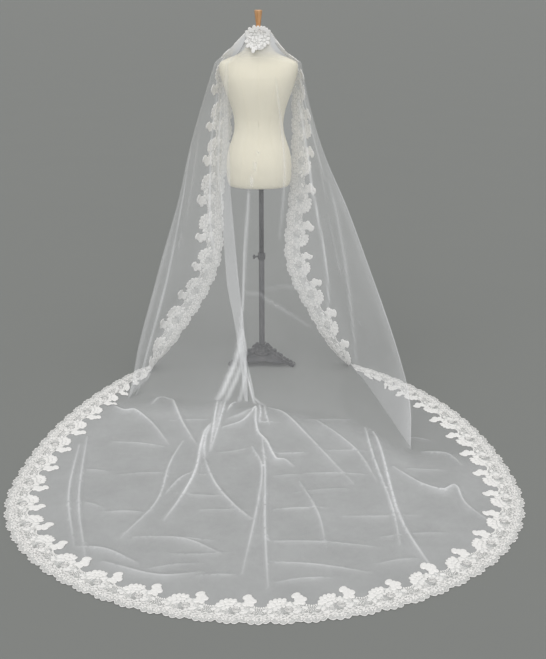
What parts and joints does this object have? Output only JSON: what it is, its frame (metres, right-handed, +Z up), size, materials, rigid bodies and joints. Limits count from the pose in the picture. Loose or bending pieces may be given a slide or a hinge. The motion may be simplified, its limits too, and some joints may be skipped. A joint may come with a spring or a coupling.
{
  "type": "bridal veil on a dress form",
  "caption": "Long cathedral mantilla veil of soft tulle with a scalloped lace border, draped over a limbless dress form on a cast tripod stand, its train spread on the floor",
  "frame": {"origin": "middle of the whole object's footprint, on the floor", "axes": "+Z up, the form faces +Y, the train lies towards -Y, +X is the wearer's right seen from behind"},
  "size_m": [1.9486, 2.3004, 1.7],
  "materials": {
    "soft_tulle": "fine soft net, see-through",
    "corded_lace": "corded floral lace on net",
    "form_linen": "close woven cream linen cover",
    "turned_wood": "turned and varnished",
    "cast_iron": "dark satin coat"
  },
  "bodies": {
    "root": {"tulle_left_fall": "soft_tulle", "tulle_back_fall": "soft_tulle", "tulle_right_fall": "soft_tulle", "tulle_train": "soft_tulle", "lace_left_fall": "corded_lace", "lace_right_fall": "corded_lace", "lace_train_left": "corded_lace", "lace_train_right": "corded_lace", "lace_neck": "corded_lace", "form_torso": "form_linen", "neck_knob": "turned_wood", "pole_lower": "cast_iron", "pole_collar": "cast_iron", "pole_upper": "cast_iron", "clamp_screw": "cast_iron", "stand_base": "cast_iron"}
  },
  "joints": []
}
